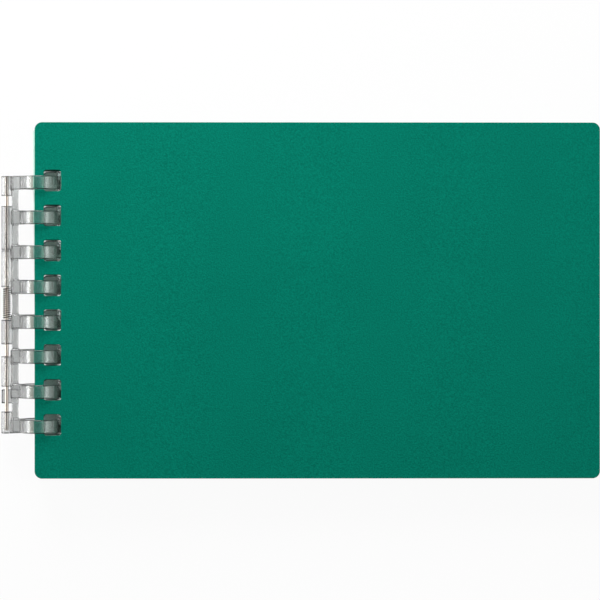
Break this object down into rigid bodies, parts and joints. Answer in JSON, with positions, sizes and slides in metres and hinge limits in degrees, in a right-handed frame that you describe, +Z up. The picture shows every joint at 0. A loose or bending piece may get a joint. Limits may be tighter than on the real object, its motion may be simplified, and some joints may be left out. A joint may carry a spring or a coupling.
{
  "type": "stamp album",
  "caption": "Small landscape ring-bound stamp album: green sanded plastic covers, black stock leaves with clear strips, clear half-ring combs on a sprung hinge.",
  "frame": {"origin": "under the middle of the album, on the surface it lies on", "axes": "+X from the rings to the far edge, +Y to the upper long edge, +Z up through the front cover"},
  "size_m": [0.164, 0.097, 0.0112],
  "materials": {
    "cover_green": "satin, fine sand grain",
    "black_board": "matt black card",
    "clear_film": "clear glossy film",
    "interleaf_film": "clear film, faintly milky",
    "clear_smoke_plastic": "clear, slightly smoky, polished",
    "steel_pin": "drawn wire",
    "spring_steel": "bright spring wire"
  },
  "bodies": {
    "back_cover": {"back_cover": "cover_green"},
    "leaf_1": {"leaf_1_board": "black_board", "leaf_1_front_strips": "clear_film", "leaf_1_back_strips": "clear_film", "leaf_1_interleaf": "interleaf_film"},
    "leaf_2": {"leaf_2_board": "black_board", "leaf_2_front_strips": "clear_film", "leaf_2_back_strips": "clear_film", "leaf_2_interleaf": "interleaf_film"},
    "leaf_3": {"leaf_3_board": "black_board", "leaf_3_front_strips": "clear_film", "leaf_3_back_strips": "clear_film", "leaf_3_interleaf": "interleaf_film"},
    "leaf_4": {"leaf_4_board": "black_board", "leaf_4_front_strips": "clear_film", "leaf_4_back_strips": "clear_film", "leaf_4_interleaf": "interleaf_film"},
    "leaf_5": {"leaf_5_board": "black_board", "leaf_5_front_strips": "clear_film", "leaf_5_back_strips": "clear_film", "leaf_5_interleaf": "interleaf_film"},
    "leaf_6": {"leaf_6_board": "black_board", "leaf_6_front_strips": "clear_film", "leaf_6_back_strips": "clear_film", "leaf_6_interleaf": "interleaf_film"},
    "front_cover": {"front_cover": "cover_green"},
    "ring_lower": {"ring_comb_lower": "clear_smoke_plastic", "latch_spring": "spring_steel"},
    "hinge_pin": {"hinge_pin": "steel_pin"},
    "ring_upper": {"ring_comb_upper": "clear_smoke_plastic"}
  },
  "joints": [
    {"name": "ring_swivel", "type": "hinge", "parent": "back_cover", "child": "ring_lower", "pos_m": [-0.07112, 0, 0.0056], "axis": [0, 1, 0], "range_deg": [0, 40]},
    {"name": "leaf_1_turn", "type": "hinge", "parent": "back_cover", "child": "leaf_1", "pos_m": [-0.07112, 0, 0.0056], "axis": [0, 1, 0], "range_deg": [-60, 0]},
    {"name": "leaf_2_turn", "type": "hinge", "parent": "back_cover", "child": "leaf_2", "pos_m": [-0.07112, 0, 0.0056], "axis": [0, 1, 0], "range_deg": [-50, 0]},
    {"name": "leaf_3_turn", "type": "hinge", "parent": "back_cover", "child": "leaf_3", "pos_m": [-0.07112, 0, 0.0056], "axis": [0, 1, 0], "range_deg": [-40, 0]},
    {"name": "leaf_4_turn", "type": "hinge", "parent": "back_cover", "child": "leaf_4", "pos_m": [-0.07112, 0, 0.0056], "axis": [0, 1, 0], "range_deg": [-30, 0]},
    {"name": "leaf_5_turn", "type": "hinge", "parent": "back_cover", "child": "leaf_5", "pos_m": [-0.07112, 0, 0.0056], "axis": [0, 1, 0], "range_deg": [-20, 0]},
    {"name": "leaf_6_turn", "type": "hinge", "parent": "back_cover", "child": "leaf_6", "pos_m": [-0.07112, 0, 0.0056], "axis": [0, 1, 0], "range_deg": [-10, 0]},
    {"name": "cover_turn", "type": "hinge", "parent": "leaf_1", "child": "front_cover", "pos_m": [-0.07112, 0, 0.0056], "axis": [0, 1, 0], "range_deg": [-58, 0]},
    {"name": "ring_unlatch", "type": "slide", "parent": "ring_lower", "child": "hinge_pin", "axis": [0, -1, 0], "range_m": [0, 0.0005], "stiffness_N_per_m": 300, "springref_m": -0.002, "deforming": ["latch_spring"]},
    {"name": "ring_open", "type": "hinge", "parent": "hinge_pin", "child": "ring_upper", "pos_m": [-0.08047, 0, 0.0056], "axis": [0, -1, 0], "range_deg": [0, 60]}
  ],
  "couplings": [
    {"joint": "leaf_2_turn", "follows": "leaf_1_turn", "ratio": 0.83333},
    {"joint": "leaf_3_turn", "follows": "leaf_1_turn", "ratio": 0.66667},
    {"joint": "leaf_4_turn", "follows": "leaf_1_turn", "ratio": 0.5},
    {"joint": "leaf_5_turn", "follows": "leaf_1_turn", "ratio": 0.33333},
    {"joint": "leaf_6_turn", "follows": "leaf_1_turn", "ratio": 0.16667}
  ]
}
